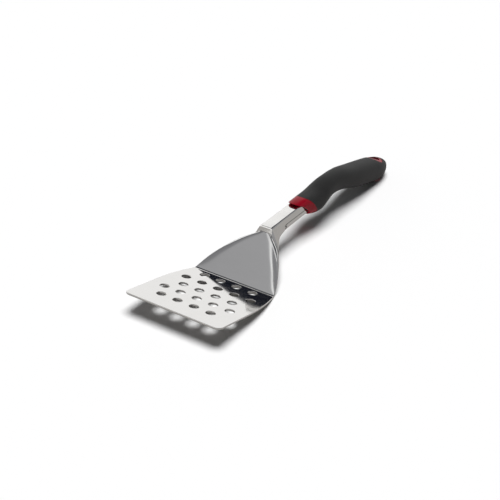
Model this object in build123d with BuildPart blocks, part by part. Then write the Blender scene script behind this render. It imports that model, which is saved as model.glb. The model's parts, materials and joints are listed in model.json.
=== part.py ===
"""Grill spatula: perforated steel head, hollow two-shell stem and a two-colour moulded handle.

The spatula lies at rest on a flat surface, on the heel of its blade and the underside of its handle.
+X runs from the blade to the handle, +Z is up, and the origin is on that surface under the middle of
the whole length. "Behind" means towards the handle, and stations are distances behind the heel line,
the fold between the blade and the shoulder.
"""

from build123d import *

import os
from math import copysign, cos, pi, radians, sin

# ---------------------------------------------------------------- driving dimensions, millimetres
SHEET = 1.5                     # the pressing that makes blade and shoulder
STEM_WALL = 1.2                 # the two stem shells

BLADE_LENGTH = 88.4             # heel line to front edge, along the blade
BLADE_TILT = 11.4               # degrees, front edge raised off the surface
BLADE_HALF_WIDTH = 43.0
HEEL_HALF_WIDTH = 37.3
FLARE_LENGTH = 45.4             # the sides curve in over this length ahead of the heel
BEND_OVERLAP = 0.4              # the blade runs on under the bend at the heel
FRONT_CORNER_RADIUS = 5.0

HOLE_RADIUS = 3.85
HOLE_PITCH = 15.0
FIRST_ROW = 8.4                 # heel line to the first row of holes
HOLES_IN_ROW = (4, 5, 4, 5, 4)

TAIL_STATION = 256.7            # heel line to the end of the handle

HANG_STATION = 236.7            # centre of the hang hole
HANG_RADIUS = 5.0
HANG_BOSS_RADIUS = 8.0

GRIP_THICKNESS = 2.4            # soft skin over the core

# The total length runs from the lower front edge of the blade to the tail, and x = 0 is half way.
TILT_COS = cos(radians(BLADE_TILT))
TILT_SIN = sin(radians(BLADE_TILT))
HEEL_X = (BLADE_LENGTH * TILT_COS + SHEET * TILT_SIN - TAIL_STATION) / 2
HEEL_TOP_Z = SHEET * TILT_COS + BEND_OVERLAP * TILT_SIN   # the blade's underside touches z = 0

# Shoulder sections: station, height of the panel, half width of the panel, then half width and height
# of the knee of the flank and of its lower edge.
SHOULDER_SECTIONS = (
    (0.0, HEEL_TOP_Z, 36.6, 37.0, 1.3, 37.3, 0.05),
    (7.0, 5.8, 34.2, 35.0, 5.1, 35.2, 4.2),
    (17.0, 12.0, 28.3, 29.9, 11.0, 30.4, 10.1),
    (27.0, 17.9, 20.9, 24.0, 16.2, 25.0, 12.6),
    (37.0, 23.2, 13.0, 16.6, 20.2, 18.6, 13.4),
    (44.2, 26.7, 5.5, 8.2, 22.6, 14.0, 14.1),
)
PANEL_ROLL = 4.0                # the panel starts to roll off this far inside its edge
PANEL_EDGE_DROP = 0.6           # and its edge is this much lower than its middle,
HEEL_EDGE_DROP = 0.04           # but only this much at the heel,
EDGE_DROP_GROWTH = 0.05         # from where the drop grows by this much per millimetre

STEM_HALF_WIDTH = 5.5
STEM_REAR_STATION = 115.7       # the stem sections run to here, the shells end inside the collar
STEM_END_RADIUS = 42.5          # their ends follow the scoop of the collar mouth, hidden inside it
NOTCH_STATION = 67.2            # stepped front end of the lower shell
STEM_TOP_REAR = 32.8
STEM_BOTTOM_FRONT = 19.6        # at the notch
STEM_BOTTOM_REAR = 21.1
SEAM_FRONT_Z = 25.2             # seam between the stem shells, half way up the side
SEAM_REAR_Z = 26.1
NOTCH_FOOT_Z = 21.5             # the step in the notch starts at this height
NOTCH_STEP = 2.0
SEAM_GAP = 0.15

# Stem sections: station, top height, top half width, side edge height, side edge half width.
STEM_SECTIONS = (
    (44.3, 26.4, 5.7, 14.2, 14.0),  # against the shoulder
    (47.7, 30.9, STEM_HALF_WIDTH, 15.3, 12.0),
    (52.7, 31.4, STEM_HALF_WIDTH, 16.9, 8.8),
    (58.7, 31.5, STEM_HALF_WIDTH, 18.3, 6.4),
    (NOTCH_STATION, 31.7, STEM_HALF_WIDTH, STEM_BOTTOM_FRONT, STEM_HALF_WIDTH),
    (STEM_REAR_STATION, STEM_TOP_REAR, STEM_HALF_WIDTH, STEM_BOTTOM_REAR, STEM_HALF_WIDTH),
)

# Handle sections: station, top height, underside height, half width, squareness of the section.
# A squareness of 2 is an ellipse, and more is fuller at the corners.
HANDLE_SECTIONS = (
    (84.7, 34.2, 21.0, 7.6, 3.0),    # mouth of the collar
    (102.7, 34.9, 19.1, 8.4, 2.8),   # back of the collar
    (123.7, 34.8, 15.2, 11.0, 2.3),  # finger guard
    (136.7, 37.1, 19.3, 10.2, 2.3),
    (149.7, 38.3, 20.3, 9.6, 2.3),   # hump under the thumb
    (166.7, 36.8, 17.1, 10.3, 2.3),
    (186.7, 32.3, 10.8, 11.6, 2.3),
    (206.7, 27.7, 5.5, 11.9, 2.3),   # palm swell
    (224.7, 23.9, 1.5, 11.7, 2.3),
    (236.7, 20.8, 0.1, 11.0, 2.3),   # rests on the surface
    (246.7, 17.0, 0.8, 8.6, 2.3),
    (252.7, 13.6, 3.0, 5.7, 2.2),
    (TAIL_STATION, 10.2, 5.8, 2.4, 2.0),
)
SECTION_POINTS = 24
TAIL_ROUNDING = 1.6

# The scooped mouth of the collar and the front edge of the grip are cylinders about one cross axis.
MOUTH_STATION = 75.0
MOUTH_RADIUS = 36.3
GRIP_EDGE_RADIUS = 43.8

TANG_THICKNESS = 3.0
TANG_HEIGHT = 8.0
TANG_BEND_RADIUS = 40.0
TANG_FRONT = (82.7, 26.0)       # station and height of the middle of the tang
TANG_BEND = (146.7, 28.6)
TANG_REAR = (208.7, 16.1)
TANG_FOOT_END = 108.7           # the foot welded inside the stem ends here

SCREW_STATIONS = (132.7, 184.7)
SCREW_RADIUS = 1.5
SCREW_HEAD_RADIUS = 3.0
SCREW_HEAD_DEPTH = 1.6
SCREW_END = 7.0                 # the screws run this far each side of the middle plane

WIDE = 60.0                     # half width of anything that cuts right across the spatula


def section_plane(station):
    """Plane across the spatula at a station; its local x is +Y and its local y is +Z."""
    return Plane(origin=(HEEL_X + station, 0, 0), x_dir=(0, 1, 0), z_dir=(1, 0, 0))


def side_point(station, height):
    """Point of a side view drawn on Plane.XZ."""
    return (HEEL_X + station, height)


def mirrored(half_outline):
    """Close a section outline, given from the middle out to its +Y side, by its mirror image."""
    return half_outline + [(-y, z) for y, z in reversed(half_outline)]


def rounded_section(half_width, half_height, squareness):
    """Points of a superellipse, evenly spread round the section of the handle."""
    points = []
    for step in range(SECTION_POINTS):
        angle = 2 * pi * step / SECTION_POINTS
        across = copysign(abs(cos(angle)) ** (2 / squareness), cos(angle))
        upwards = copysign(abs(sin(angle)) ** (2 / squareness), sin(angle))
        points.append((half_width * across, half_height * upwards))
    return points


# ---------------------------------------------------------------- head
blade_plane = Plane(
    origin=(HEEL_X, 0, HEEL_TOP_Z),
    x_dir=(-TILT_COS, 0, TILT_SIN),
    z_dir=(TILT_SIN, 0, TILT_COS),
)


def shoulder_outline(station, panel_z, panel_y, knee_y, knee_z, edge_y, edge_z):
    """Section of the pressed sheet: a flat panel that rolls off into a flank on each side."""
    flat_y = panel_y - PANEL_ROLL
    rolled_z = panel_z - min(PANEL_EDGE_DROP, HEEL_EDGE_DROP + EDGE_DROP_GROWTH * station)
    above = [(flat_y, panel_z), (panel_y, rolled_z), (knee_y, knee_z), (edge_y, edge_z)]
    below = [(edge_y - SHEET, edge_z), (panel_y - SHEET, rolled_z - SHEET), (flat_y, panel_z - SHEET)]
    return mirrored(above + below)


with BuildPart() as blade_and_shoulder:
    for section in SHOULDER_SECTIONS:
        with BuildSketch(section_plane(section[0])):
            Polygon(*shoulder_outline(*section), align=None)
    loft()
    with BuildSketch(blade_plane) as blade_outline:
        with BuildLine():
            Polyline((0, HEEL_HALF_WIDTH), (-BEND_OVERLAP, HEEL_HALF_WIDTH), (-BEND_OVERLAP, 0))
            TangentArc((FLARE_LENGTH, BLADE_HALF_WIDTH), (0, HEEL_HALF_WIDTH), tangent=(-1, 0))
            Polyline((FLARE_LENGTH, BLADE_HALF_WIDTH), (BLADE_LENGTH, BLADE_HALF_WIDTH), (BLADE_LENGTH, 0))
            mirror(about=Plane.XZ)
        make_face()
        fillet(blade_outline.vertices().group_by(Axis.X)[-1], FRONT_CORNER_RADIUS)
    extrude(amount=-SHEET)
    with BuildSketch(blade_plane):
        for row, holes in enumerate(HOLES_IN_ROW):
            with Locations((FIRST_ROW + row * HOLE_PITCH, 0)):
                with GridLocations(HOLE_PITCH, HOLE_PITCH, 1, holes):
                    Circle(HOLE_RADIUS)
    extrude(amount=-SHEET, mode=Mode.SUBTRACT)
blade_and_shoulder.part.label = "blade_and_shoulder"


# ---------------------------------------------------------------- stem
def cross_cylinder(radius):
    """Cylinder across the spatula, about the axis that the collar and grip edges share."""
    with BuildPart() as cylinder:
        with BuildSketch(Plane.XZ):
            with Locations(side_point(MOUTH_STATION, 0)):
                Circle(radius)
        extrude(amount=WIDE, both=True)
    return cylinder.part


def stem_outline(top_z, top_y, edge_z, edge_y, inset=0.0, drop=0.0):
    """Section of the stem as a solid block, or of the space inside it when inset by the wall."""
    return mirrored([(top_y - inset, top_z - inset), (edge_y - inset, edge_z - drop)])


with BuildPart() as stem_block:
    for station, *sizes in STEM_SECTIONS:
        with BuildSketch(section_plane(station)):
            Polygon(*stem_outline(*sizes), align=None)
    loft(ruled=True)
    add(cross_cylinder(STEM_END_RADIUS), mode=Mode.INTERSECT)

with BuildPart() as stem_space:
    for station, *sizes in STEM_SECTIONS:
        with BuildSketch(section_plane(station)):
            Polygon(*stem_outline(*sizes, inset=STEM_WALL, drop=STEM_WALL), align=None)
    loft(ruled=True)


def lower_shell_zone(gap):
    """Everything below the seam and behind the stepped front end of the lower shell, less a gap."""
    rear = STEM_REAR_STATION + 1
    step = NOTCH_STEP
    with BuildPart() as zone:
        with BuildSketch(Plane.XZ):
            Polygon(
                side_point(NOTCH_STATION + gap, 0),
                side_point(NOTCH_STATION + gap, NOTCH_FOOT_Z),
                side_point(NOTCH_STATION + step + gap, NOTCH_FOOT_Z + step),
                side_point(NOTCH_STATION + gap, SEAM_FRONT_Z - gap),
                side_point(rear, SEAM_REAR_Z - gap),
                side_point(rear, 0),
                align=None,
            )
        extrude(amount=WIDE, both=True)
    return zone.part


with BuildPart() as stem_upper_shell:
    add(stem_block.part)
    add(stem_space.part, mode=Mode.SUBTRACT)
    add(lower_shell_zone(gap=0.0), mode=Mode.SUBTRACT)
stem_upper_shell.part.label = "stem_upper_shell"

with BuildPart() as stem_lower_shell:
    add(stem_block.part)
    add(lower_shell_zone(gap=SEAM_GAP), mode=Mode.INTERSECT)
    with BuildSketch(Plane.XZ):
        Polygon(
            side_point(NOTCH_STATION - 1, STEM_BOTTOM_FRONT + STEM_WALL),
            side_point(STEM_REAR_STATION + 1, STEM_BOTTOM_REAR + STEM_WALL),
            side_point(STEM_REAR_STATION + 1, STEM_TOP_REAR),
            side_point(NOTCH_STATION - 1, STEM_TOP_REAR),
            align=None,
        )
    extrude(amount=STEM_HALF_WIDTH - STEM_WALL, both=True, mode=Mode.SUBTRACT)
stem_lower_shell.part.label = "stem_lower_shell"

# ---------------------------------------------------------------- tang and its screws
def tang_height(station):
    """Height of the middle of the tang at a station, away from its bend."""
    start, end = (TANG_FRONT, TANG_BEND) if station < TANG_BEND[0] else (TANG_BEND, TANG_REAR)
    return start[1] + (end[1] - start[1]) * (station - start[0]) / (end[0] - start[0])


# A countersunk screw lies across the spatula, through the tang and into both halves of the core.
with BuildPart() as screw:
    with BuildSketch(Plane.XY):
        Polygon(
            (0, SCREW_END),
            (SCREW_HEAD_RADIUS, SCREW_END),
            (SCREW_RADIUS, SCREW_END - SCREW_HEAD_DEPTH),
            (SCREW_RADIUS, -SCREW_END),
            (0, -SCREW_END),
            align=None,
        )
    revolve(axis=Axis.Y)

with BuildPart() as core_screws:
    with Locations(*[(HEEL_X + station, 0, tang_height(station)) for station in SCREW_STATIONS]):
        add(screw.part)
core_screws.part.label = "core_screws"

# The foot of the tang fills the height of the stem, where it is welded to both shells.
with BuildPart() as tang_foot:
    with BuildSketch(Plane.XZ):
        Polygon(
            side_point(TANG_FRONT[0], STEM_BOTTOM_FRONT),
            side_point(TANG_FOOT_END, STEM_BOTTOM_FRONT),
            side_point(TANG_FOOT_END, STEM_TOP_REAR),
            side_point(TANG_FRONT[0], STEM_TOP_REAR),
            align=None,
        )
    extrude(amount=TANG_THICKNESS / 2, both=True)
    add(stem_block.part, mode=Mode.INTERSECT)
    add(stem_space.part, mode=Mode.INTERSECT)
    add(stem_lower_shell.part, mode=Mode.SUBTRACT)

with BuildPart() as tang_bar:
    with BuildSketch(Plane.XZ):
        with BuildLine():
            FilletPolyline(
                side_point(*TANG_FRONT),
                side_point(*TANG_BEND),
                side_point(*TANG_REAR),
                radius=TANG_BEND_RADIUS,
            )
        trace(line_width=TANG_HEIGHT)
    extrude(amount=TANG_THICKNESS / 2, both=True)
    add(tang_foot.part)
    add(core_screws.part, mode=Mode.SUBTRACT)
tang_bar.part.label = "tang_bar"

# ---------------------------------------------------------------- handle
def handle_form(inset):
    """The outer form of the handle, or the form left inside a skin of the given thickness."""
    last = len(HANDLE_SECTIONS) - (1 if inset else 0)
    with BuildPart() as form:
        for station, top_z, bottom_z, half_width, squareness in HANDLE_SECTIONS[:last]:
            half_height = (top_z - bottom_z) / 2
            with BuildSketch(section_plane(station)):
                with BuildLine(Location((0, top_z - half_height))):
                    points = rounded_section(half_width - inset, half_height - inset, squareness)
                    Spline(*points, periodic=True)
                make_face()
        loft()
        if not inset:
            fillet(form.edges().sort_by(Axis.X)[-1], TAIL_ROUNDING)
    return form.part


def hang_cylinder(radius):
    """Upright cylinder on the axis of the hang hole."""
    with BuildPart() as cylinder:
        with BuildSketch(Plane.XY):
            with Locations((HEEL_X + HANG_STATION, 0)):
                Circle(radius)
        extrude(amount=WIDE)
    return cylinder.part


outer_form = handle_form(inset=0.0)

# The core is full size in the collar and round the hang hole, and a skin smaller everywhere else.
with BuildPart() as collar_band:
    add(outer_form)
    add(cross_cylinder(GRIP_EDGE_RADIUS), mode=Mode.INTERSECT)

with BuildPart() as hang_boss:
    add(outer_form)
    add(hang_cylinder(HANG_BOSS_RADIUS), mode=Mode.INTERSECT)

with BuildPart() as core_block:
    add(handle_form(inset=GRIP_THICKNESS))
    add(collar_band.part)
    add(hang_boss.part)
    add(cross_cylinder(MOUTH_RADIUS), mode=Mode.SUBTRACT)

with BuildPart() as grip_overmould:
    add(outer_form)
    add(cross_cylinder(GRIP_EDGE_RADIUS), mode=Mode.SUBTRACT)
    add(core_block.part, mode=Mode.SUBTRACT)
grip_overmould.part.label = "grip_overmould"


def core_half(side):
    """The half of the core on one side of the middle plane, with the recesses for what it clamps."""
    with BuildPart() as half:
        add(core_block.part)
        add(stem_block.part, mode=Mode.SUBTRACT)
        add(tang_bar.part, mode=Mode.SUBTRACT)
        add(core_screws.part, mode=Mode.SUBTRACT)
        add(hang_cylinder(HANG_RADIUS), mode=Mode.SUBTRACT)
        with BuildSketch(Plane.XY):
            Rectangle(2 * TAIL_STATION, WIDE, align=(Align.CENTER, side))
        extrude(amount=WIDE, mode=Mode.INTERSECT)
    return half.part


# Left and right are those of the person holding the spatula, who looks along -X.
handle_core_left = core_half(Align.MAX)
handle_core_left.label = "handle_core_left"
handle_core_right = core_half(Align.MIN)
handle_core_right.label = "handle_core_right"

os.makedirs("parts", exist_ok=True)
pieces = [blade_and_shoulder.part, stem_upper_shell.part, stem_lower_shell.part, tang_bar.part]
pieces += [handle_core_left, handle_core_right, core_screws.part, grip_overmould.part]
for piece in pieces:
    export_step(piece, f"parts/{piece.label}.step")
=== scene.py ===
"""Looks of the grill spatula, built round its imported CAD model.

Sizes are in millimetres and are turned into metres when a mesh is made. A station is a distance behind
the heel line, the fold between the blade and the shoulder, as in the CAD model: +X runs from the blade
to the handle, +Z is up, and the spatula rests on z = 0.
"""

import json
from math import cos, hypot, pi, radians, sin, sqrt, tan

import bmesh
import bpy
import numpy as np
from mathutils import Euler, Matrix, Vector
from mathutils.geometry import delaunay_2d_cdt


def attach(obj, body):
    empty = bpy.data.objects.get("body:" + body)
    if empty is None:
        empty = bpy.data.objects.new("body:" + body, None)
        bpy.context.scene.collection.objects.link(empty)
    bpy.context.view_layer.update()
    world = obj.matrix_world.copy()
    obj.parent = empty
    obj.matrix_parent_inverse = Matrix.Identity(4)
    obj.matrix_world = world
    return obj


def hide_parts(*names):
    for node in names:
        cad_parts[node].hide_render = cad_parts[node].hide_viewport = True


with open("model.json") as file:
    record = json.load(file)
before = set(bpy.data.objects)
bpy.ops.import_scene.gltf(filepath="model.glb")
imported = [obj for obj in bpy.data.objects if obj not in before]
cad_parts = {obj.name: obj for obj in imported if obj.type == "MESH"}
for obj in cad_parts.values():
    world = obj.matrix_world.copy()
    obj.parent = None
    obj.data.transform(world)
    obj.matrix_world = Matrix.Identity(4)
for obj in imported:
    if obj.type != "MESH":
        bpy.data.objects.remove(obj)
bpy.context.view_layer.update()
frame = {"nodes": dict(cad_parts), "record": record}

MM = 0.001
SMOOTH_BELOW = 35.0             # degrees; sharper edges are shaded sharp
PROFILE_STEPS = 6               # of an arc in a section
HANG_STATION = 236.7
HEEL_X = frame["record"]["mounts"][0]["pos_m"][0] / MM - HANG_STATION

# ---------------------------------------------------------------- head sizes
SHEET = 1.5
BLADE_TILT = radians(11.4)
BLADE_LENGTH = 88.4
BLADE_HALF_WIDTH = 43.0
FLARE_STEPS = 22
CORNER_STEPS = 14
HEEL_HALF_WIDTH = 37.3
FLARE_LENGTH = 45.4
FRONT_CORNER_RADIUS = 5.0
EDGE_ROUNDING = 0.3
BEND_OVERLAP = 0.4
HEEL_TOP_Z = SHEET * cos(BLADE_TILT) + BEND_OVERLAP * sin(BLADE_TILT)

HOLE_RADIUS = 3.85
HOLE_PITCH = 15.0
FIRST_ROW = 8.4
HOLES_IN_ROW = (4, 5, 4, 5, 4)
HOLE_SEGMENTS = 56
MERGE_DISTANCE = 1e-6           # points of a flat face closer than this are one
LEVEL_TOLERANCE = 0.02          # a point of the bend this close to a face's height is on it
CORNER_TOLERANCE = 0.01

JUNCTION = 1.9                  # the blade's flat part starts this far ahead of the heel line
REAR_AHEAD = JUNCTION / cos(BLADE_TILT)
BEND_RUN = 1.8                  # rounding of the fold, each side of the heel line
BEND_FROM = 6.0                 # the fold is rounded between flats that reach this far ahead of it
BEND_TO = 4.0                   # and this far behind it
BEND_STEPS = 14
BEND_END = 2.0                  # station where sections stand upright
SHOULDER_STEPS = 60
POLISH_END = -0.2               # station where the mirror polish ends
FORMED_BY = 6.0                 # station where the blade's flat section is all shoulder
FIT_AHEAD = (24.0, 16.0, 8.0)   # the shoulder's curves run on along the blade to these distances
EDGE_LIP = 0.7                  # from the panel to the blade's edge, and at least this to the knee
KNEE_LIP = 0.3
KNEE_LIP_DROP = 0.25
# Station, panel height, panel half width, knee half width and height, edge half width and height.
SHOULDER_SECTIONS = (
    (0.0, HEEL_TOP_Z, 36.6, 37.0, 1.3, 37.3, 0.05),
    (7.0, 5.8, 34.2, 35.0, 5.1, 35.2, 4.2),
    (17.0, 12.0, 28.3, 29.9, 11.0, 30.4, 10.1),
    (27.0, 17.9, 20.9, 24.0, 16.2, 25.0, 12.6),
    (37.0, 23.2, 13.0, 16.6, 20.2, 18.6, 13.4),
    (44.2, 26.7, 5.5, 8.2, 22.6, 14.0, 14.1),
)
PANEL_ROLL = 4.0                # the panel rolls off over this much of its half width
PANEL_EDGE_DROP = 0.6
HEEL_EDGE_DROP = 0.04
EDGE_DROP_GROWTH = 0.05
WIDE_ROUND = 4.0                # rounding of the roll-off and of the knee
INNER_EDGE_ROUND = 0.4
INNER_PANEL_ROUND = 1.5
PANEL_DIVISIONS = 10

# ---------------------------------------------------------------- stem sizes
STEM_WALL = 1.2
STEM_CORNER = 1.3
STEM_LIP_ROUND = 0.15           # rounding of the edges of the sheet
UPPER_INNER_ROUND = 0.5
LOWER_INNER_ROUND = 0.4
STEM_EDGE_SOFTNESS = 0.12
# Station, top height, top half width, side edge height, side edge half width.
STEM_SECTIONS = (
    (44.3, 26.4, 5.6, 14.2, 13.9),
    (45.5, 31.2, 5.5, 14.6, 13.4),
    (47.7, 31.28, 5.5, 15.3, 12.0),
    (52.7, 31.4, 5.5, 16.9, 8.8),
    (58.7, 31.5, 5.5, 18.3, 6.4),
    (67.2, 31.7, 5.5, 19.6, 5.5),
    (115.7, 32.8, 5.5, 21.1, 5.5),
)
STEM_END_STATION = 102.7
NOTCH_STATION = 67.2
NOTCH_GAP = 1.5
NOTCH_DEPTH = 2.0               # of the stepped front edge, along the stem
SEAM_FRONT_Z = 25.2
SEAM_REAR_Z = 26.1
SEAM_GAP = 0.55
# Stepped front edge of the lower shell from its foot up: distance behind its start, and height.
NOTCH_EDGE = ((-1.0, 0.0), (0.2, 21.1), (1.9, 22.7), (-0.9, 23.8))
NOTCH_TOP = 1.6                 # where the edge reaches the seam, behind its start
NOTCH_ROUNDS = (0.5, 0.5, 0.5, 0.6, 0.01)
NOTCH_ROUND_STEPS = 3
CUT_FRONT_FACING = 0.3          # least part of a cut face's normal that lies along the stem
NOTCH_MARGIN = 2.0              # the cut front is looked for from this far ahead of the notch
LOWER_SHELL_MARGIN = 3.0        # the lower shell's rings start this far ahead of the notch
# First station, last station and number of the stem's rings: close at the nose, wide along the tube.
STEM_RINGS = (
    (STEM_SECTIONS[0][0], 49.0, 26),
    (49.8, NOTCH_STATION, 24),
    (NOTCH_STATION + 2.5, STEM_END_STATION, 12),
)
CUTTER_HALF_WIDTH = 40.0

# ---------------------------------------------------------------- handle sizes
# Station, top height, underside height, half width, squareness of the section.
HANDLE_SECTIONS = (
    (84.7, 34.2, 21.0, 7.6, 3.0),
    (102.7, 34.9, 19.1, 8.4, 2.8),
    (123.7, 34.8, 15.2, 11.0, 2.3),
    (136.7, 37.1, 19.3, 10.2, 2.3),
    (149.7, 37.9, 20.3, 9.6, 2.3),
    (166.7, 36.8, 17.1, 10.3, 2.3),
    (186.7, 32.5, 10.8, 11.6, 2.3),
    (206.7, 28.2, 5.5, 11.9, 2.3),
    (224.7, 24.3, 1.5, 11.7, 2.3),
)
TAIL_START = 224.7
TAIL_END = 256.7
TAIL_ROUNDNESS = 2.1            # exponent of the curve that closes the tail
TAIL_END_Z = 8.0
TAIL_MIDDLE_Z = 9.8
TAIL_SHARE = 0.9995             # the last ring stops just short of the tail's tip
MOUTH_STATION = 75.0
MOUTH_RADIUS = 36.3
GRIP_EDGE_RADIUS = 43.8
GRIP_THICKNESS = 2.4
GRIP_EDGE_ROUND = 0.7
GRIP_EDGE_RUN = 0.8             # the skin's long rings start this far behind its edge
GRIP_SMOOTH_BELOW = 40.0
WINDOW_SOFTNESS = 0.5
COLLAR_WALL = 1.7
COLLAR_RECESS = 1.6
COLLAR_RECESS_DEPTH = 2.0
COLLAR_ROUND = 0.5
COLLAR_START = 1.2              # the collar's outside rings start this far behind its mouth
COLLAR_TUCK = 0.25              # the collar's outside runs on this far under the skin
COLLAR_RINGS = 8
NECK_STEP = 0.1                 # length of the step from the collar down to the neck
CORE_SPLIT = 0.04               # half of the gap between the halves of the core
CORE_SOFTNESS = 0.25
HANG_RADIUS = 5.0
HANG_WINDOW_RADIUS = 8.0
BOSS_CLEARANCE = 0.05
BOSS_DEPTH = 0.25               # below the grip's surface
BOSS_FRONT_RADIUS = 90.0
BOSS_RINGS = 90
BOSS_HALF_WIDTH = 15.0
BOSS_BOX = ((200, -5), (270, -5), (270, 60), (200, 60))     # stations and heights around the hang hole
CUTTER_HEIGHTS = (-20, 60)
CUTTER_SEGMENTS = 64
AROUND = 96                     # points round a section of the handle
OUTSIDE_RINGS = 110
INSIDE_RINGS = 60
TRIM_ROUNDS = 12                # of the search for where a surface meets a cross cylinder
EDGE_STEPS = 4


# ---------------------------------------------------------------- mathematics
def smooth_through(stations, values):
    """Function that runs through the values at the stations as a natural cubic spline."""
    x = np.array(stations, float)
    y = np.array(values, float)
    gap = np.diff(x)
    slope = np.diff(y) / gap
    count = len(x)
    system = np.eye(count)
    target = np.zeros(count)
    for i in range(1, count - 1):
        system[i, i - 1:i + 2] = gap[i - 1], 2 * (gap[i - 1] + gap[i]), gap[i]
        target[i] = 6 * (slope[i] - slope[i - 1])
    bend = np.linalg.solve(system, target)

    def at(station):
        i = int(np.clip(np.searchsorted(x, station) - 1, 0, count - 2))
        t = station - x[i]
        start = slope[i] - gap[i] * (2 * bend[i] + bend[i + 1]) / 6
        return y[i] + t * (start + t * (bend[i] / 2 + t * (bend[i + 1] - bend[i]) / (6 * gap[i])))

    return at


def monotone_through(stations, values):
    """Function through the values at the stations that never overshoots them."""
    x = np.array(stations, float)
    y = np.array(values, float)
    gap = np.diff(x)
    slope = np.diff(y) / gap
    tangent = np.concatenate([slope[:1], np.zeros(len(x) - 2), slope[-1:]])
    for i in range(1, len(x) - 1):
        if slope[i - 1] * slope[i] > 0:
            near = 2 * gap[i] + gap[i - 1]
            far = gap[i] + 2 * gap[i - 1]
            tangent[i] = (near + far) / (near / slope[i - 1] + far / slope[i])

    def at(station):
        i = int(np.clip(np.searchsorted(x, station) - 1, 0, len(x) - 2))
        t = (station - x[i]) / gap[i]
        rise = (3 - 2 * t) * t * t
        early = gap[i] * t * (1 - t) ** 2
        late = gap[i] * t * t * (t - 1)
        return y[i] * (1 - rise) + y[i + 1] * rise + tangent[i] * early + tangent[i + 1] * late

    return at


def smoothstep(low, high, value):
    """0 below low, 1 above high and a smooth rise between them."""
    t = min(max((value - low) / (high - low), 0), 1)
    return t * t * (3 - 2 * t)


def rounded_corner(before, at, after, run, steps):
    """Arc that replaces the corner at a point of a path and starts run before it."""
    before, at, after = np.array(before), np.array(at), np.array(after)
    back, on = before - at, after - at
    back_length, on_length = np.linalg.norm(back), np.linalg.norm(on)
    start = at + back * min(run / back_length, 0.49)
    end = at + on * min(run / on_length, 0.49)
    weight = sqrt(max(0.0, (1 - float(back @ on) / (back_length * on_length)) / 2))
    arc = []
    for t in np.linspace(0, 1, steps + 1):
        ahead, middle, behind = (1 - t) ** 2, 2 * weight * t * (1 - t), t * t
        arc.append((ahead * start + middle * at + behind * end) / (ahead + middle + behind))
    return arc


def rounded_path(corners, runs, steps):
    """Path through corners, from the first to the last, with every corner between them rounded."""
    path = [np.array(corners[0], float)]
    for i, run in enumerate(runs):
        path += rounded_corner(*corners[i:i + 3], run, steps)
    return path + [np.array(corners[-1], float)]


def divided(start, end, parts):
    """Points that divide a straight run into equal parts, both ends left out."""
    return [np.array(start) + (np.array(end) - np.array(start)) * k / parts for k in range(1, parts)]


# ---------------------------------------------------------------- meshes
def shade(mesh, smooth_below=SMOOTH_BELOW):
    """Shade a mesh smooth but for edges sharper than an angle."""
    mesh.shade_smooth()
    mesh.set_sharp_from_angle(angle=radians(smooth_below))


def make_object(name, points, faces):
    """Mesh object from points in millimetres, with doubled points merged."""
    mesh = bpy.data.meshes.new(name)
    mesh.from_pydata([Vector(point) * MM for point in points], [], faces)
    work = bmesh.new()
    work.from_mesh(mesh)
    bmesh.ops.remove_doubles(work, verts=work.verts, dist=1e-7)
    bmesh.ops.recalc_face_normals(work, faces=work.faces)
    work.to_mesh(mesh)
    work.free()
    shade(mesh)
    piece = bpy.data.objects.new(name, mesh)
    bpy.context.scene.collection.objects.link(piece)
    return piece


def loft(rings, caps=(True, True), closed=True):
    """Points and faces of a skin over rings, or open rows, that all have the same number of points."""
    count = len(rings[0])
    points = [point for ring in rings for point in ring]
    faces = []
    for i in range(len(rings) - 1):
        for j in range(count if closed else count - 1):
            a, b = i * count + j, i * count + (j + 1) % count
            faces.append((a, b, b + count, a + count))
    if caps[0]:
        faces.append(tuple(range(count)))
    if caps[1]:
        faces.append(tuple(range(len(points) - count, len(points))))
    return points, faces


def joined(skins):
    """Points and faces of several skins as those of one."""
    points, faces = [], []
    for more_points, more_faces in skins:
        shift = len(points)
        points += more_points
        faces += [tuple(shift + i for i in face) for face in more_faces]
    return points, faces


def angles_round(count):
    """Equal steps round a circle, the end left out."""
    return [2 * pi * k / count for k in range(count)]


def cut(piece, cutter, operation="DIFFERENCE"):
    """Apply a boolean and remove the cutter."""
    modifier = piece.modifiers.new("cut", "BOOLEAN")
    modifier.operation = operation
    modifier.solver = "EXACT"
    modifier.object = cutter
    apply_modifiers(piece)
    bpy.data.objects.remove(cutter)


def apply_modifiers(piece):
    """Turn a piece's modifiers into its mesh."""
    bpy.context.view_layer.update()
    evaluated = piece.evaluated_get(bpy.context.evaluated_depsgraph_get())
    mesh = bpy.data.meshes.new_from_object(evaluated)
    piece.modifiers.clear()
    piece.data = mesh


def soften_edges(piece, width, angle=SMOOTH_BELOW):
    """Round the sharp edges of a piece and keep its flats flat."""
    bevel = piece.modifiers.new("bevel", "BEVEL")
    bevel.width = width * MM
    bevel.segments = 2
    bevel.limit_method = "ANGLE"
    bevel.angle_limit = radians(angle)
    piece.modifiers.new("flats", "WEIGHTED_NORMAL").keep_sharp = True


def prism(name, outline, half_width):
    """Upright outline in the plane of stations and heights, made solid across the spatula."""
    rings = [[(HEEL_X + station, y, z) for station, z in outline] for y in (-half_width, half_width)]
    return make_object(name, *loft(rings))


def hang_cylinder(name, radius):
    """Upright cylinder about the hang hole, taller than the handle."""
    ring = [
        (HEEL_X + HANG_STATION + radius * cos(a), radius * sin(a))
        for a in angles_round(CUTTER_SEGMENTS)
    ]
    return make_object(name, *loft([[(x, y, z) for x, y in ring] for z in CUTTER_HEIGHTS]))


def finish_piece(piece, slot, materials, *nodes):
    """Give a piece its materials, hang it under the root body and hide the CAD nodes that it stands for."""
    for material in materials:
        piece.data.materials.append(material)
    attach(piece, "root")
    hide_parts(*nodes)
    return piece


# ---------------------------------------------------------------- materials
NOISE_RANGE = (0.3, 0.7)        # where most values of a noise lie


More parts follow.
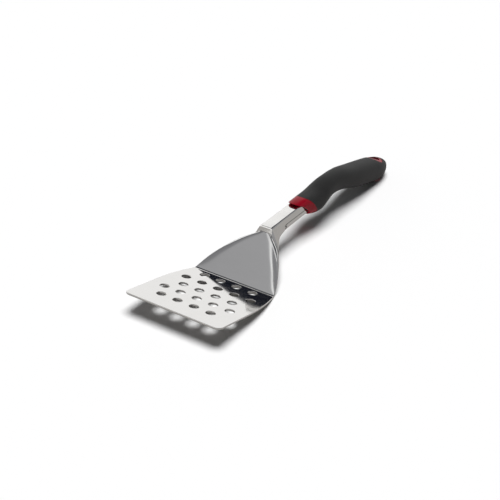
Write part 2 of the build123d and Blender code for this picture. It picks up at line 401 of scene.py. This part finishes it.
class Nodes:
    """Short way to write a node material."""

    def __init__(self, name):
        self.material = bpy.data.materials.new(name)
        self.material.use_nodes = True
        self.tree = self.material.node_tree
        self.shader = self.tree.nodes["Principled BSDF"]
        self.place = self.add("ShaderNodeTexCoord").outputs["Object"]

    def add(self, kind, **settings):
        """Node of a kind; settings are its properties, or its sockets by number or name."""
        node = self.tree.nodes.new(kind)
        for key, value in settings.items():
            if hasattr(node, key):
                setattr(node, key, value)
            else:
                node.inputs[key.replace("_", " ")].default_value = value
        return node

    def link(self, source, target):
        self.tree.links.new(source, target)

    def stretched(self, scale, turn=(0, 0, 0)):
        """Object coordinates in metres, scaled along each axis."""
        mapping = self.add("ShaderNodeMapping")
        mapping.inputs["Scale"].default_value = scale
        mapping.inputs["Rotation"].default_value = turn
        self.link(self.place, mapping.inputs["Vector"])
        return mapping.outputs["Vector"]

    def noise(self, vector, scale, detail=4.0, roughness=0.5):
        """Noise from 0 to 1, about 0.5."""
        noise = self.add("ShaderNodeTexNoise", Scale=scale, Detail=detail, Roughness=roughness)
        self.link(vector, noise.inputs["Vector"])
        return noise.outputs["Fac"]

    def remap(self, value, low, high):
        """The usual range of a noise taken to another range."""
        remap = self.add("ShaderNodeMapRange")
        self.link(value, remap.inputs["Value"])
        for socket, number in zip(remap.inputs[1:5], (*NOISE_RANGE, low, high)):
            socket.default_value = number
        return remap.outputs["Result"]

    def mix_colors(self, share, first, second):
        """Colour between two colours by a share."""
        mix = self.add("ShaderNodeMix", data_type="RGBA")
        self.link(share, mix.inputs[0])
        mix.inputs[6].default_value = (*first, 1)
        mix.inputs[7].default_value = (*second, 1)
        return mix.outputs[2]

    def bump(self, heights, distance, strength=1.0):
        """Bump from a height, at most distance deep in metres, on the shader."""
        bump = self.add("ShaderNodeBump", Strength=strength, Distance=distance)
        self.link(heights, bump.inputs["Height"])
        self.link(bump.outputs["Normal"], self.shader.inputs["Normal"])


def polished_steel():
    """Mirror polish with faint wiping scratches and smudges."""
    nodes = Nodes("polished_steel")
    nodes.shader.inputs["Metallic"].default_value = 1.0
    smudges = nodes.noise(nodes.place, 90.0, 3.0)
    hairs = nodes.noise(nodes.stretched((60.0, 1800.0, 60.0), (0, 0, 0.35)), 1.0, 5.0, 0.7)
    base = nodes.mix_colors(smudges, (0.75, 0.74, 0.72), (0.80, 0.79, 0.775))
    nodes.link(base, nodes.shader.inputs["Base Color"])
    nodes.link(nodes.remap(smudges, 0.05, 0.10), nodes.shader.inputs["Roughness"])
    nodes.bump(hairs, 0.000002)
    return nodes.material


def satin_steel(name, grain, dark, light, rough_low, rough_high):
    """Fine brushed finish; grain is how often it changes along each axis, per metre."""
    nodes = Nodes(name)
    nodes.shader.inputs["Metallic"].default_value = 1.0
    brushing = nodes.noise(nodes.stretched(grain), 1.0, 6.0, 0.65)
    clouds = nodes.noise(nodes.place, 55.0, 3.0)
    nodes.link(nodes.mix_colors(brushing, dark, light), nodes.shader.inputs["Base Color"])
    nodes.link(nodes.remap(clouds, rough_low, rough_high), nodes.shader.inputs["Roughness"])
    nodes.bump(brushing, 0.000004)
    return nodes.material


def glossy_red_plastic():
    """Moulded gloss plastic, slightly uneven as mouldings are."""
    nodes = Nodes("glossy_red_plastic")
    flow = nodes.noise(nodes.stretched((60.0, 160.0, 160.0)), 1.0, 2.0)
    grain = nodes.noise(nodes.place, 2500.0, 2.0)
    base = nodes.mix_colors(flow, (0.20, 0.003, 0.010), (0.25, 0.004, 0.014))
    nodes.link(base, nodes.shader.inputs["Base Color"])
    nodes.link(nodes.remap(grain, 0.16, 0.24), nodes.shader.inputs["Roughness"])
    nodes.shader.inputs["Specular IOR Level"].default_value = 0.15
    nodes.bump(flow, 0.00002)
    return nodes.material


def soft_touch_rubber():
    """Matte dark grey overmould with a fine spark-eroded grain and a faint dusty bloom."""
    nodes = Nodes("soft_touch_rubber")
    grain = nodes.noise(nodes.place, 2600.0, 3.0, 0.6)
    bloom = nodes.noise(nodes.place, 70.0, 4.0, 0.6)
    base = nodes.mix_colors(bloom, (0.014, 0.014, 0.014), (0.020, 0.020, 0.0195))
    nodes.link(base, nodes.shader.inputs["Base Color"])
    nodes.link(nodes.remap(grain, 0.52, 0.70), nodes.shader.inputs["Roughness"])
    nodes.shader.inputs["Specular IOR Level"].default_value = 0.3
    nodes.shader.inputs["Sheen Weight"].default_value = 0.06
    nodes.shader.inputs["Sheen Roughness"].default_value = 0.4
    nodes.bump(grain, 0.00004, 0.6)
    return nodes.material


MIRROR = polished_steel()
SATIN = satin_steel(
    "satin_steel", (900.0, 90.0, 90.0), (0.72, 0.72, 0.71), (0.78, 0.78, 0.775), 0.09, 0.13
)
STEM = satin_steel(
    "stem_steel", (50.0, 1400.0, 1400.0), (0.84, 0.83, 0.81), (0.90, 0.89, 0.87), 0.10, 0.15
)
PLAIN = satin_steel(
    "plain_steel", (80.0, 900.0, 900.0), (0.42, 0.42, 0.42), (0.55, 0.55, 0.55), 0.32, 0.45
)
# Near-black steel: painted shade for the stem's hollow inside and the notch's cut front edge, where only
# shade falls.
PAINTED_SHADE_STEEL = satin_steel(
    "steel_painted_shade", (90.0, 600.0, 600.0), (0.05, 0.05, 0.05), (0.12, 0.12, 0.12), 0.45, 0.60
)
RED = glossy_red_plastic()
RUBBER = soft_touch_rubber()


# ---------------------------------------------------------------- head
def blade_half_width(ahead):
    """Half width of the blade at a distance ahead of the heel line, corners left out."""
    rise = BLADE_HALF_WIDTH - HEEL_HALF_WIDTH
    radius = (FLARE_LENGTH ** 2 + rise ** 2) / (2 * rise)
    left = max(FLARE_LENGTH - ahead, 0)
    return BLADE_HALF_WIDTH - radius + sqrt(radius ** 2 - left ** 2)


def head_sizes():
    """Functions of the station: the panel's height and half width, then the knee's and the edge's
    half width and drop below the panel."""
    stations, heights, panels, knees, knee_heights, edges, edge_heights = map(list, zip(*SHOULDER_SECTIONS))
    widths = [blade_half_width(distance) for distance in FIT_AHEAD]
    blade_stations = [-distance * cos(BLADE_TILT) for distance in FIT_AHEAD]
    curves = (
        ([width - EDGE_LIP for width in widths], panels),
        ([width - KNEE_LIP for width in widths], knees),
        ([-KNEE_LIP_DROP] * len(widths), [z - panel for z, panel in zip(knee_heights, heights)]),
        (widths, edges),
        ([-SHEET] * len(widths), [z - panel for z, panel in zip(edge_heights, heights)]),
    )
    along = blade_stations + stations
    return [smooth_through(stations, heights), *[smooth_through(along, a + b) for a, b in curves]]


panel_height, panel_half_width, knee_half_width, knee_drop, edge_half_width, edge_drop = head_sizes()


def head_half_section(station):
    """Corners of half a section, from the middle of the top round to the middle underneath, and how much
    each is rounded."""
    formed = smoothstep(-JUNCTION, FORMED_BY, station)
    edge = edge_half_width(station)
    if station <= -JUNCTION:
        edge = blade_half_width(-station / cos(BLADE_TILT))
    knee = edge - (edge - knee_half_width(station)) * formed
    panel = knee - max(knee_half_width(station) - panel_half_width(station), EDGE_LIP)
    flat = panel - PANEL_ROLL
    fall = min(PANEL_EDGE_DROP, HEEL_EDGE_DROP + EDGE_DROP_GROWTH * max(station, 0)) * formed
    low = edge_drop(station) * formed - SHEET * (1 - formed)
    corners = [
        (0, 0),
        (flat, 0),
        (panel, -fall),
        (knee, min(knee_drop(station) * formed, -fall)),
        (edge, low),
        (edge - SHEET, low),
        (panel - SHEET, -fall - SHEET),
        (flat, -SHEET),
        (0, -SHEET),
    ]
    soft = EDGE_ROUNDING
    knee_round = soft + (WIDE_ROUND - soft) * formed
    runs = [WIDE_ROUND, WIDE_ROUND, knee_round, soft, soft, INNER_EDGE_ROUND, INNER_PANEL_ROUND]
    return corners, runs


def head_ring(station):
    """Whole ring of (y, height) points of the head; heights are from the middle of its top."""
    corners, runs = head_half_section(station)
    path = rounded_path(corners, runs, PROFILE_STEPS)
    top = [path[0]] + divided(path[0], path[1], PANEL_DIVISIONS) + path[1:-1]
    under = divided(path[-2], path[-1], PANEL_DIVISIONS) + [path[-1]]
    half = top + under
    mirror = [np.array((-y, h)) for y, h in half[1:-1]]
    return half + mirror[::-1]


def head_line():
    """Stations and heights along the middle of the head's top, from the junction to the stem."""
    start = (-JUNCTION, HEEL_TOP_Z + JUNCTION * tan(BLADE_TILT))
    before = (-BEND_FROM, HEEL_TOP_Z + BEND_FROM * tan(BLADE_TILT))
    after = (BEND_TO, panel_height(BEND_TO))
    bend = rounded_corner(before, (0, HEEL_TOP_Z), after, BEND_RUN, BEND_STEPS)
    line = [start] + [tuple(point) for point in bend]
    rear = SHOULDER_SECTIONS[-1][0]
    stations = np.linspace(BEND_END, rear, SHOULDER_STEPS)
    return line + [(station, panel_height(station)) for station in stations]


def head_rings():
    """Rings of points along the bend and the shoulder."""
    rings = []
    for station, height in head_line():
        lean = BLADE_TILT * (1 - smoothstep(-BEND_RUN, BEND_END, station))
        ring = [
            (HEEL_X + station + h * sin(lean), y, height + h * cos(lean))
            for y, h in head_ring(station)
        ]
        rings.append(ring)
    return rings


def blade_point(ahead, y, depth):
    """Point of the blade at a distance ahead of the heel line and a depth below its top."""
    x = HEEL_X - ahead * cos(BLADE_TILT) - depth * sin(BLADE_TILT)
    z = HEEL_TOP_Z + ahead * sin(BLADE_TILT) - depth * cos(BLADE_TILT)
    return (x, y, z)


def blade_side():
    """One side of the blade's outline, as (ahead, half width), from the junction to the front edge."""
    side = [(ahead, blade_half_width(ahead)) for ahead in np.linspace(REAR_AHEAD, FLARE_LENGTH, FLARE_STEPS)]
    centre = (BLADE_LENGTH - FRONT_CORNER_RADIUS, BLADE_HALF_WIDTH - FRONT_CORNER_RADIUS)
    for angle in np.linspace(pi / 2, 0, CORNER_STEPS):
        across = FRONT_CORNER_RADIUS * sin(angle)
        side.append((centre[0] + FRONT_CORNER_RADIUS * cos(angle), centre[1] + across))
    return side


def edge_levels():
    """How far a rounded cut edge is moved in, and how deep it is, from the top face to the bottom one."""
    path = rounded_path(
        [(1.0, 0.0), (0.0, 0.0), (0.0, SHEET), (1.0, SHEET)], [EDGE_ROUNDING] * 2, PROFILE_STEPS
    )
    return [tuple(point) for point in path[1:-1]]


def edge_row(outline, distance):
    """The blade's open outline moved in by a distance, with both ends kept on the junction."""
    last = len(outline) - 1
    moved = [(REAR_AHEAD, outline[0][1] + distance)]
    for i in range(1, last):
        along = np.array(outline[i + 1]) - np.array(outline[i - 1])
        along /= hypot(*along)
        ahead, y = outline[i]
        moved.append((ahead - along[1] * distance, y + along[0] * distance))
    return [*moved, (REAR_AHEAD, outline[last][1] - distance)]


def hole_centres():
    """Centres of the drain holes, as (ahead, y)."""
    for row, holes in enumerate(HOLES_IN_ROW):
        for number in range(holes):
            yield FIRST_ROW + row * HOLE_PITCH, (number - (holes - 1) / 2) * HOLE_PITCH


def inside(point, outline):
    """Whether a point is inside a closed outline."""
    crossings = 0
    for (x1, y1), (x2, y2) in zip(outline, outline[1:] + outline[:1]):
        if (y1 > point[1]) != (y2 > point[1]):
            crossings += point[0] < x1 + (point[1] - y1) * (x2 - x1) / (y2 - y1)
    return crossings % 2 == 1


def flat_face(outline, holes, hole_radius, depth):
    """Points and triangles of one flat face of the blade, each triangle with points of its own."""
    loops = [outline] + holes
    flat = [Vector(point) for loop in loops for point in loop]
    edges = []
    start = 0
    for loop in loops:
        count = len(loop)
        edges += [(start + i, start + (i + 1) % count) for i in range(count)]
        start += count
    points, _, triangles, *_ = delaunay_2d_cdt(flat, edges, [], 0, MERGE_DISTANCE)
    centres = list(hole_centres())
    kept = []
    for triangle in triangles:
        corners = [points[i] for i in triangle]
        middle = sum(corners, Vector((0, 0))) / 3
        in_hole = any(hypot(middle.x - a, middle.y - y) < hole_radius for a, y in centres)
        if not in_hole and inside(middle, outline):
            kept += [blade_point(*corner, depth) for corner in corners]
    return kept, [(i, i + 1, i + 2) for i in range(0, len(kept), 3)]


def hole_rim(ahead, y, outward):
    """Points round a drain hole, as (ahead, y), moved away from its centre by a distance."""
    rim = []
    for angle in angles_round(HOLE_SEGMENTS):
        along, across = cos(angle), sin(angle)
        rim.append((
            ahead + HOLE_RADIUS * along + along * outward,
            y + HOLE_RADIUS * across + across * outward,
        ))
    return rim


def row_on_bend(first_ring, depth, limit):
    """Where, across the blade, the bend's first ring has points on the face at a depth."""
    level = blade_point(REAR_AHEAD, 0, depth)[2]
    on_face = [y for _, y, z in first_ring if abs(z - level) < LEVEL_TOLERANCE]
    return sorted({round(float(y), 6) for y in on_face if abs(y) < limit})


def build_blade(first_ring):
    """Points and faces of the flat part of the blade; its rear edge is the first ring of the bend."""
    levels = edge_levels()
    centres = list(hole_centres())
    side = blade_side()
    outline = [(a, -w) for a, w in side] + [(a, w) for a, w in reversed(side)]

    def at_depth(row, depth):
        return [blade_point(a, y, depth) for a, y in row]

    skins = []
    for ahead, y in centres:
        rims = [at_depth(hole_rim(ahead, y, inward), depth) for inward, depth in levels]
        skins.append(loft(rims, caps=(False, False)))
    rows = [at_depth(edge_row(outline, inward), depth) for inward, depth in levels]
    skins.append(loft(rows, caps=(False, False), closed=False))
    for inward, depth in (levels[0], levels[-1]):
        row = edge_row(outline, inward)
        rear = row_on_bend(first_ring, depth, abs(row[0][1]) - CORNER_TOLERANCE)
        face_outline = row + [(REAR_AHEAD, y) for y in reversed(rear)]
        holes = [hole_rim(ahead, y, inward) for ahead, y in centres]
        clear = (HOLE_RADIUS + inward) * cos(pi / HOLE_SEGMENTS)
        skins.append(flat_face(face_outline, holes, clear, depth))
    return joined(skins)


def build_head():
    """Blade, bend and shoulder as one closed pressing."""
    rings = head_rings()
    rings[0] = [blade_point(REAR_AHEAD, y, -h) for y, h in head_ring(-JUNCTION)]
    points, faces = joined([loft(rings, caps=(False, True)), build_blade(rings[0])])
    head = make_object("head", points, faces)
    polish_end = (HEEL_X + POLISH_END) * MM
    for face in head.data.polygons:
        face.material_index = 0 if face.center.x < polish_end else 1
    head.modifiers.new("flats", "WEIGHTED_NORMAL").keep_sharp = True
    return head


head = finish_piece(build_head(), "pressed_steel", (MIRROR, SATIN), "blade_and_shoulder")


# ---------------------------------------------------------------- stem
stem_size = [
    monotone_through([s[0] for s in STEM_SECTIONS], [s[k] for s in STEM_SECTIONS]) for k in range(1, 5)
]


def seam_height(station):
    """Height of the seam between the stem shells."""
    along = (station - NOTCH_STATION) / (STEM_SECTIONS[-1][0] - NOTCH_STATION)
    return SEAM_FRONT_Z + (SEAM_REAR_Z - SEAM_FRONT_Z) * along


def stem_stations():
    """Stations of the stem's rings."""
    return [station for run in STEM_RINGS for station in np.linspace(*run)]


def mirrored_ring(half):
    """Whole ring from a half that starts and ends on the middle plane."""
    return [*half, *[np.array((-y, z)) for y, z in half[-2:0:-1]]]


def upper_ring(station):
    """Section of a shell that covers the top and the whole sides of the stem."""
    top_z, top_y, edge_z, edge_y = [size(station) for size in stem_size]
    corners = [
        (0, top_z),
        (top_y, top_z),
        (edge_y, edge_z),
        (edge_y - STEM_WALL, edge_z),
        (top_y - STEM_WALL, top_z - STEM_WALL),
        (0, top_z - STEM_WALL),
    ]
    runs = (STEM_CORNER, STEM_LIP_ROUND, STEM_LIP_ROUND, UPPER_INNER_ROUND)
    return mirrored_ring(rounded_path(corners, runs, PROFILE_STEPS))


def lower_ring(station):
    """Section of the channel that closes the stem from below."""
    _, _, bottom_z, half_width = [size(station) for size in stem_size]
    seam = seam_height(station) - SEAM_GAP
    corners = [
        (0, bottom_z),
        (half_width, bottom_z),
        (half_width, seam),
        (half_width - STEM_WALL, seam),
        (half_width - STEM_WALL, bottom_z + STEM_WALL),
        (0, bottom_z + STEM_WALL),
    ]
    runs = (STEM_CORNER, STEM_LIP_ROUND, STEM_LIP_ROUND, LOWER_INNER_ROUND)
    return mirrored_ring(rounded_path(corners, runs, PROFILE_STEPS))


def ring_at(station, ring):
    """Ring of (y, z) points set upright at a station."""
    return [(HEEL_X + station, y, z) for y, z in ring]


def notch_outline(front_gap, seam_gap):
    """Outline of the lower shell's region: a stepped front edge, and the seam behind it."""
    start = NOTCH_STATION + front_gap
    rear = STEM_SECTIONS[-1][0] + 10
    corners = [(start + behind, z) for behind, z in NOTCH_EDGE]
    corners.append((start + NOTCH_TOP, seam_height(start) - seam_gap))
    corners += [(rear, seam_height(rear) - seam_gap), (rear, 0.0)]
    return rounded_path(corners, NOTCH_ROUNDS, NOTCH_ROUND_STEPS)


def build_stem():
    """Upper and lower shell of the stem, with a narrow gap along their seam."""
    stations = stem_stations()
    upper = make_object("stem_upper", *loft([ring_at(s, upper_ring(s)) for s in stations]))
    cut(upper, prism("notch_cutter", notch_outline(0.0, 0.0), CUTTER_HALF_WIDTH))
    behind = [s for s in stations if s > NOTCH_STATION - LOWER_SHELL_MARGIN]
    lower = make_object("stem_lower", *loft([ring_at(s, lower_ring(s)) for s in behind]))
    keeper = prism("notch_keeper", notch_outline(NOTCH_GAP, SEAM_GAP), CUTTER_HALF_WIDTH)
    cut(lower, keeper, "INTERSECT")
    for shell in (upper, lower):
        shade(shell.data)
        soften_edges(shell, STEM_EDGE_SOFTNESS)
    return upper, lower


def mark_painted_shade(shell):
    """Give the second material, near-black steel that paints the shade, to the inside of a shell and to the
    cut front edge in the notch.
    """
    front = HEEL_X + NOTCH_STATION + NOTCH_GAP + NOTCH_DEPTH
    for face in shell.data.polygons:
        x, y, z = face.center / MM
        top_z, _, edge_z, _ = [size(x - HEEL_X) for size in stem_size]
        facing_in = face.normal.y * y + face.normal.z * (z - (top_z + edge_z) / 2) < 0
        near_notch = HEEL_X + NOTCH_STATION - NOTCH_MARGIN < x < front
        cut_front = near_notch and abs(face.normal.x) > CUT_FRONT_FACING
        face.material_index = 1 if facing_in or cut_front else 0


stem_upper, stem_lower = build_stem()
for shell, node in ((stem_upper, "stem_upper_shell"), (stem_lower, "stem_lower_shell")):
    mark_painted_shade(shell)
    finish_piece(shell, "stem_steel", (STEM, PAINTED_SHADE_STEEL), node)


# ---------------------------------------------------------------- handle
section_stations = [s[0] for s in HANDLE_SECTIONS]
handle_middle = smooth_through(
    section_stations + [(TAIL_START + TAIL_END) / 2, TAIL_END],
    [(s[1] + s[2]) / 2 for s in HANDLE_SECTIONS] + [TAIL_MIDDLE_Z, TAIL_END_Z],
)
body_height = smooth_through(section_stations, [(s[1] - s[2]) / 2 for s in HANDLE_SECTIONS])
body_width = smooth_through(section_stations, [s[3] for s in HANDLE_SECTIONS])
squareness = smooth_through(section_stations, [s[4] for s in HANDLE_SECTIONS])


def handle_sizes(station, inset):
    """Middle height, half height, half width and squareness of the handle's section."""
    along = max(station - TAIL_START, 0) / (TAIL_END - inset - TAIL_START)
    closing = max(1 - along ** TAIL_ROUNDNESS, 0) ** (1 / 2)
    at = min(station, TAIL_START)
    height = (body_height(at) - inset) * closing
    width = (body_width(at) - inset) * closing
    return handle_middle(station), height, width, squareness(at)


def handle_point(station, angle, inset=0.0):
    """Point of the handle's surface, or of the surface at a depth inside it."""
    middle, height, width, square = handle_sizes(station, inset)
    across, up = cos(angle), sin(angle)
    y = width * abs(across) ** (2 / square) * (1 if across > 0 else -1)
    z = middle + height * abs(up) ** (2 / square) * (1 if up > 0 else -1)
    return np.array((HEEL_X + station, y, z))


def front_station(angle, radius, inset=0.0):
    """Station where the surface meets the cross cylinder that trims the collar or the grip."""
    station = MOUTH_STATION + radius / 2
    for _ in range(TRIM_ROUNDS):
        height = handle_point(station, angle, inset)[2]
        station = MOUTH_STATION + sqrt(radius ** 2 - height ** 2)
    return station


def trimmed_ring(angles, radius, inset):
    """Ring of the surface along a cross cylinder."""
    return [handle_point(front_station(a, radius, inset), a, inset) for a in angles]


def long_rings(angles, radius, inset, count):
    """Rings from a cross cylinder to the tail, closer together towards the tail."""
    fronts = [front_station(a, radius, inset) for a in angles]
    tail = TAIL_END - inset
    rings = []
    for k in range(count):
        share = 0.5 * sin(pi / 2 * k / (count - 1)) + 0.5 * (1 - (1 - k / (count - 1)) ** 2)
        share = min(share, TAIL_SHARE)
        rings.append([
            handle_point(front + (tail - front) * share, a, inset) for front, a in zip(fronts, angles)
        ])
    return rings


def edge_rings(angles, radius, inner, rounding):
    """Rings round an edge that faces forward, from the handle's surface to a depth inside it."""
    far = radius + 4 * rounding
    corners = [(far, 0.0), (radius, 0.0), (radius, inner), (far, inner)]
    path = rounded_path(corners, [rounding, rounding], EDGE_STEPS)
    return [trimmed_ring(angles, r, inset) for r, inset in path[1:-1]]


def build_grip():
    """Soft skin: a cup with a rounded front edge and a round window for the hang hole."""
    angles = angles_round(AROUND)
    front_radius = GRIP_EDGE_RADIUS + GRIP_EDGE_RUN
    outside = long_rings(angles, front_radius, 0.0, OUTSIDE_RINGS)
    front = edge_rings(angles, GRIP_EDGE_RADIUS, GRIP_THICKNESS, GRIP_EDGE_ROUND)
    inner = long_rings(angles, front_radius, GRIP_THICKNESS, INSIDE_RINGS)
    grip = make_object("grip", *loft(outside[::-1] + front + inner))
    cut(grip, hang_cylinder("window", HANG_WINDOW_RADIUS))
    shade(grip.data, GRIP_SMOOTH_BELOW)
    soften_edges(grip, WINDOW_SOFTNESS, GRIP_SMOOTH_BELOW)
    return grip


def build_core_half(name, side):
    """Half of the rigid core: collar with its mouth, and neck under the grip."""
    low = -pi / 2 if side > 0 else pi / 2
    half = [low + pi * k / (AROUND // 2) for k in range(AROUND // 2 + 1)]
    recess = MOUTH_RADIUS + COLLAR_RECESS
    rings = [trimmed_ring(half, recess, COLLAR_WALL + COLLAR_RECESS_DEPTH)]
    rings.append(trimmed_ring(half, recess, COLLAR_WALL))
    rings += edge_rings(half, MOUTH_RADIUS, COLLAR_WALL, COLLAR_ROUND)[::-1]
    collar_end = GRIP_EDGE_RADIUS + COLLAR_TUCK
    for radius in np.linspace(MOUTH_RADIUS + COLLAR_START, collar_end, COLLAR_RINGS):
        rings.append(trimmed_ring(half, radius, 0.0))
    rings += long_rings(half, collar_end + NECK_STEP, GRIP_THICKNESS, INSIDE_RINGS)
    aside = np.array((0, CORE_SPLIT * side, 0))
    return make_object(name, *loft([[point + aside for point in ring] for ring in rings]))


core_right = build_core_half("core_right", 1)
core_left = build_core_half("core_left", -1)


def hang_boss(name, side):
    """Half ring of the core that shows round the hang hole, just below the grip's surface."""
    rings = long_rings(angles_round(AROUND), BOSS_FRONT_RADIUS, BOSS_DEPTH, BOSS_RINGS)
    boss = make_object(name, *loft(rings))
    cut(boss, hang_cylinder("boss_keeper", HANG_WINDOW_RADIUS - BOSS_CLEARANCE), "INTERSECT")
    box = prism("half_keeper", BOSS_BOX, BOSS_HALF_WIDTH)
    box.location.y = (BOSS_HALF_WIDTH + CORE_SPLIT) * side * MM
    bpy.context.view_layer.update()
    cut(boss, box, "INTERSECT")
    return boss


for core, side in ((core_right, 1), (core_left, -1)):
    cut(core, hang_boss("boss", side), "UNION")
    cut(core, hang_cylinder("hang_hole", HANG_RADIUS))
    shade(core.data)
    soften_edges(core, CORE_SOFTNESS)

grip = finish_piece(build_grip(), "grip_rubber", (RUBBER,), "grip_overmould")
finish_piece(core_right, "core_plastic", (RED,), "handle_core_right")
finish_piece(core_left, "core_plastic", (RED,), "handle_core_left")

# The hidden steel keeps its CAD shape and gets a real finish.
for node in ("tang_bar", "core_screws"):
    frame["nodes"][node].data.materials.clear()
    frame["nodes"][node].data.materials.append(PLAIN)


# ---------------------------------------------------------------- studio
FLOOR_SIZE = 30.0
FLOOR_COLOR = (0.9, 0.9, 0.9)
FLOOR_IN_STEEL = (0.35, 0.34, 0.33)     # the floor's colour in reflections, duller than to the eye
FLOOR_ROUGHNESS = 0.9
CAMERA_FOCAL = 90.0
CAMERA_SENSOR = 36.0
CAMERA_PLACE = Vector((-0.7226 + HEEL_X * MM, -0.4443, 0.5166))
CAMERA_LOOK = Vector((0.74532, 0.44463, -0.49680))
CAMERA_ROLL = radians(3.34)
KEY_ANGLE = radians(36)
KEY_STRENGTH = 3.25
FILL = 0.16                     # share of the room's light that reaches matt surfaces
HORIZON = (1.0, 1.0, 1.0)
NEAR_HORIZON = (0.30, 0.30, 0.31)
DARK = (0.012, 0.014, 0.022)
NEAR_DARK = (0.06, 0.06, 0.07)
SIDE_DARK = (0.18, 0.18, 0.19)
CEILING_EDGE = (0.26, 0.26, 0.27)
CEILING = (0.40, 0.40, 0.41)
SOFT_BOX = (1.0, 1.0, 1.0)
FRONT_BLEND = (0.25, 0.45)      # directions along +X between which the side wall turns into the front one
NEAR_BLEND = (-0.45, -0.10)     # directions along +Y between which the near wall turns into the others
# Colours of the room by elevation in degrees: a grey ceiling with a ring of light round its middle, and
# below it the walls past the handle, to the left and behind, and on the near side (-Y).
UPPER_ROOM = ((60.5, CEILING), (67, CEILING), (69, SOFT_BOX), (71.5, SOFT_BOX), (74.5, CEILING_EDGE))
FRONT_ROOM = ((0, HORIZON), (32.5, HORIZON), (35, DARK), (58, DARK), *UPPER_ROOM)
SIDE_ROOM = ((0, HORIZON), (31.5, HORIZON), (35, SIDE_DARK), (57.5, CEILING_EDGE), *UPPER_ROOM)
NEAR_ROOM = ((0, NEAR_HORIZON), (40, NEAR_HORIZON), (48, NEAR_DARK), (58, NEAR_DARK), *UPPER_ROOM)


def add_floor():
    """Pale floor that looks duller in every reflection of it."""
    half = FLOOR_SIZE / 2 / MM
    corners = [(-half, -half, 0), (half, -half, 0), (half, half, 0), (-half, half, 0)]
    floor = make_object("floor", corners, [(0, 1, 2, 3)])
    nodes = Nodes("studio_floor")
    rays = nodes.add("ShaderNodeLightPath").outputs["Is Glossy Ray"]
    nodes.link(nodes.mix_colors(rays, FLOOR_COLOR, FLOOR_IN_STEEL), nodes.shader.inputs["Base Color"])
    nodes.shader.inputs["Roughness"].default_value = FLOOR_ROUGHNESS
    nodes.shader.inputs["Specular IOR Level"].default_value = 0.0
    floor.data.materials.append(nodes.material)


def room_colors(tree, height, stops):
    """Colour of the room by the sine of the elevation."""
    ramp = tree.nodes.new("ShaderNodeValToRGB")
    tree.links.new(height, ramp.inputs[0])
    elements = ramp.color_ramp.elements
    for k, (elevation, color) in enumerate(stops):
        position = sin(radians(elevation))
        stop = elements[k] if k < 2 else elements.new(position)
        stop.position = position
        stop.color = (*color, 1)
    return ramp.outputs[0]


def blend_rooms(tree, position, low, high, first, second):
    """First colour where a coordinate of the direction is below low, the second where it is above high."""
    share = tree.nodes.new("ShaderNodeMapRange")
    share.inputs["From Min"].default_value = low
    share.inputs["From Max"].default_value = high
    tree.links.new(position, share.inputs["Value"])
    mix = tree.nodes.new("ShaderNodeMix")
    mix.data_type = "RGBA"
    tree.links.new(share.outputs["Result"], mix.inputs[0])
    tree.links.new(first, mix.inputs[6])
    tree.links.new(second, mix.inputs[7])
    return mix.outputs[2]


def add_world():
    """White sweep near the horizon, dark walls above it and a grey ceiling with a ring of light."""
    world = bpy.data.worlds.new("studio")
    bpy.context.scene.world = world
    world.use_nodes = True
    tree = world.node_tree
    place = tree.nodes.new("ShaderNodeTexCoord")
    split = tree.nodes.new("ShaderNodeSeparateXYZ")
    tree.links.new(place.outputs["Generated"], split.inputs[0])
    along, across, up = split.outputs
    near, side, front = [room_colors(tree, up, room) for room in (NEAR_ROOM, SIDE_ROOM, FRONT_ROOM)]
    far = blend_rooms(tree, along, *FRONT_BLEND, side, front)
    whole = blend_rooms(tree, across, *NEAR_BLEND, near, far)
    tree.links.new(whole, tree.nodes["Background"].inputs[0])
    path = tree.nodes.new("ShaderNodeLightPath")
    share = tree.nodes.new("ShaderNodeMapRange")
    share.inputs["To Min"].default_value = 1.0
    share.inputs["To Max"].default_value = FILL
    tree.links.new(path.outputs["Is Diffuse Ray"], share.inputs["Value"])
    tree.links.new(share.outputs["Result"], tree.nodes["Background"].inputs["Strength"])


def add_key_light():
    """Large soft light straight overhead, hidden from every reflection."""
    light = bpy.data.lights.new("key", "SUN")
    light.angle = KEY_ANGLE
    light.energy = KEY_STRENGTH
    key = bpy.data.objects.new("key", light)
    key.visible_glossy = False
    bpy.context.scene.collection.objects.link(key)


def add_camera():
    """Camera ahead of the blade and on its near side (-Y), looking down along the spatula."""
    data = bpy.data.cameras.new("camera")
    data.lens = CAMERA_FOCAL
    data.sensor_width = CAMERA_SENSOR
    camera = bpy.data.objects.new("camera", data)
    bpy.context.scene.collection.objects.link(camera)
    camera.location = CAMERA_PLACE
    turn = CAMERA_LOOK.to_track_quat("-Z", "Y")
    camera.rotation_euler = (turn @ Euler((0, 0, CAMERA_ROLL)).to_quaternion()).to_euler()
    bpy.context.scene.camera = camera


add_floor()
add_world()
add_key_light()
add_camera()
bpy.context.scene.view_settings.view_transform = "Standard"
